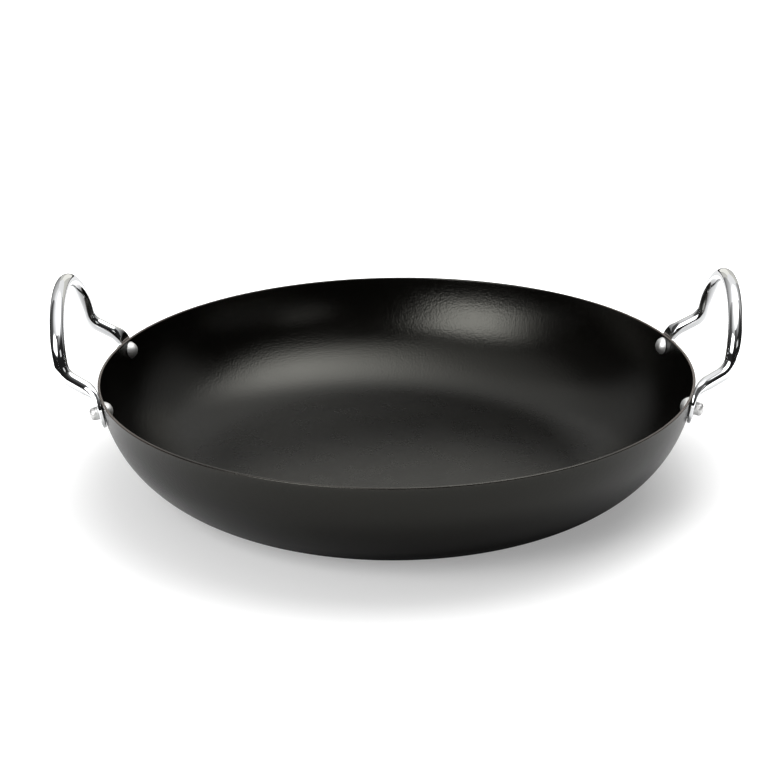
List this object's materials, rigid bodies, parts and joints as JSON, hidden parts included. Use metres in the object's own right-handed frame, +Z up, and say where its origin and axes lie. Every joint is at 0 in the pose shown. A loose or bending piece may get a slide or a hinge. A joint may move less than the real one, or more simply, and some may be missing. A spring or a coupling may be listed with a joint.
{
  "type": "paella pan",
  "caption": "Wide shallow round pan with a curved wall and a chromed rod loop handle riveted to each side.",
  "frame": {"origin": "on the ground, under the middle of the flat base", "axes": "+Z up out of the open bowl, X through the two handles with +X to the right one, +Y to the back"},
  "size_m": [0.384, 0.3398, 0.1196],
  "materials": {
    "coating": "satin non-stick coating with a very fine grain",
    "plating": "bright chrome plate",
    "rivet": "soft matt, as pressed"
  },
  "bodies": {
    "root": {"pan": "coating", "handle_left": "plating", "handle_right": "plating", "rivet_left_back": "rivet", "rivet_left_front": "rivet", "rivet_right_back": "rivet", "rivet_right_front": "rivet"}
  },
  "joints": []
}
